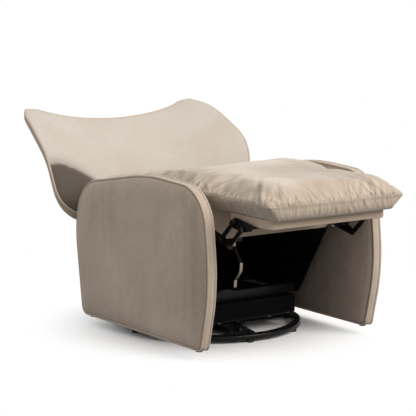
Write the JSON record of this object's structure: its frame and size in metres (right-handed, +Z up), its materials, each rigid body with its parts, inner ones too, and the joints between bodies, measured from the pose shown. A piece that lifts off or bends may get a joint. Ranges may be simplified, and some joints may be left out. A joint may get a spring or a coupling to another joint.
{
  "type": "swivel recliner",
  "caption": "Velvet lounge recliner with a wing back, slab arms and a chaise footrest on a steel linkage, standing on a swivel star and ring base.",
  "frame": {"origin": "swivel axis at floor level, under the middle of the chair's outline", "axes": "+Z up, -Y the way the sitter faces, +X to the sitter's left"},
  "size_m": [0.8468, 1.3564, 0.7064],
  "materials": {
    "velvet": "short velvet pile",
    "wrap_cloth": "short velvet pile, stretched flat",
    "piping_cloth": "velvet over a cord",
    "plywood": "raw plywood",
    "black_board": "painted matte black",
    "black_steel": "satin powder coat",
    "plated_steel": "zinc plated, dull",
    "chrome": "polished",
    "rubber": "matte",
    "black_plastic": "matte",
    "webbing": "woven elastic"
  },
  "bodies": {
    "base": {"base_ring": "black_steel", "star_cross": "black_steel", "star_bolts": "plated_steel", "base_glides": "rubber", "lower_race": "plated_steel", "bearing_balls": "plated_steel", "kingpin": "plated_steel"},
    "chassis": {"arm_bolts": "plated_steel", "arm_core_left": "plywood", "arm_core_right": "plywood", "arm_feet": "black_plastic", "arm_inner_pad_left": "velvet", "arm_inner_pad_right": "velvet", "arm_outer_pad_left": "velvet", "arm_outer_pad_right": "velvet", "arm_spacers": "black_steel", "arm_strip_left": "velvet", "arm_strip_right": "velvet", "arm_welts_left": "piping_cloth", "arm_welts_right": "piping_cloth", "cross_tubes": "black_steel", "frame_bolts": "plated_steel", "lever_bracket": "black_steel", "lever_pin": "plated_steel", "lever_spring": "plated_steel", "plinth_bolts": "plated_steel", "plinth_front": "black_board", "plinth_lid": "black_board", "plinth_rear": "black_board", "plinth_sides": "black_board", "rear_apron": "black_board", "recline_pins": "plated_steel", "seat_cushion": "velvet", "seat_front_rail": "wrap_cloth", "seat_rear_rail": "plywood", "seat_side_rails": "plywood", "seat_webbing": "webbing", "side_plates": "black_steel", "swivel_plate": "black_steel", "upper_race": "plated_steel"},
    "ottoman": {"footrest_board": "wrap_cloth", "footrest_brackets": "black_steel", "footrest_screws": "plated_steel", "bracket_pins": "plated_steel", "pad_tab": "black_plastic", "footrest_cushion": "velvet"},
    "rear_links": {"rear_links": "black_steel", "pivot_shaft": "plated_steel", "crank_pins": "plated_steel"},
    "front_link_left": {"front_link_left": "black_steel"},
    "front_link_right": {"front_link_right": "black_steel"},
    "middle_link_left": {"middle_link_left": "black_steel"},
    "middle_link_right": {"middle_link_right": "black_steel"},
    "back": {"back_cover": "velvet", "back_hinges": "black_steel", "back_inner_pad": "velvet", "back_piping": "piping_cloth", "back_rod": "plated_steel", "back_shell": "plywood"},
    "lever": {"release_lever": "chrome"}
  },
  "joints": [
    {"name": "swivel", "type": "hinge", "parent": "base", "child": "chassis", "pos_m": [0, 0, 0.042], "axis": [0, 0, 1], "continuous": true},
    {"name": "recline", "type": "hinge", "parent": "chassis", "child": "back", "pos_m": [0, 0.2, 0.38], "axis": [1, 0, 0], "range_deg": [0, 30]},
    {"name": "footrest_fold", "type": "hinge", "parent": "chassis", "child": "ottoman", "pos_m": [0, -0.36, 0.463], "axis": [1, 0, 0], "range_deg": [0, 90]},
    {"name": "crank", "type": "hinge", "parent": "chassis", "child": "rear_links", "pos_m": [0, -0.29, 0.398], "axis": [1, 0, 0], "range_deg": [0, 90]},
    {"name": "front_link_left_turn", "type": "hinge", "parent": "ottoman", "child": "front_link_left", "pos_m": [0.2495, -0.513, 0.425], "axis": [1, 0, 0], "range_deg": [-90, 0]},
    {"name": "middle_link_left_turn", "type": "hinge", "parent": "ottoman", "child": "middle_link_left", "pos_m": [0.2495, -0.471, 0.444], "axis": [1, 0, 0], "range_deg": [-90, 0]},
    {"name": "front_link_right_turn", "type": "hinge", "parent": "ottoman", "child": "front_link_right", "pos_m": [-0.2495, -0.513, 0.425], "axis": [1, 0, 0], "range_deg": [-90, 0]},
    {"name": "middle_link_right_turn", "type": "hinge", "parent": "ottoman", "child": "middle_link_right", "pos_m": [-0.2495, -0.471, 0.444], "axis": [1, 0, 0], "range_deg": [-90, 0]},
    {"name": "release_lever_pull", "type": "hinge", "parent": "chassis", "child": "lever", "pos_m": [-0.12, -0.286, 0.352], "axis": [1, 0, 0], "range_deg": [0, 25], "stiffness_Nm_per_rad": 0.8, "springref_deg": -8.59}
  ],
  "couplings": [
    {"joint": "crank", "follows": "footrest_fold", "ratio": 1},
    {"joint": "front_link_left_turn", "follows": "footrest_fold", "ratio": -1},
    {"joint": "middle_link_left_turn", "follows": "footrest_fold", "ratio": -1},
    {"joint": "front_link_right_turn", "follows": "footrest_fold", "ratio": -1},
    {"joint": "middle_link_right_turn", "follows": "footrest_fold", "ratio": -1}
  ]
}
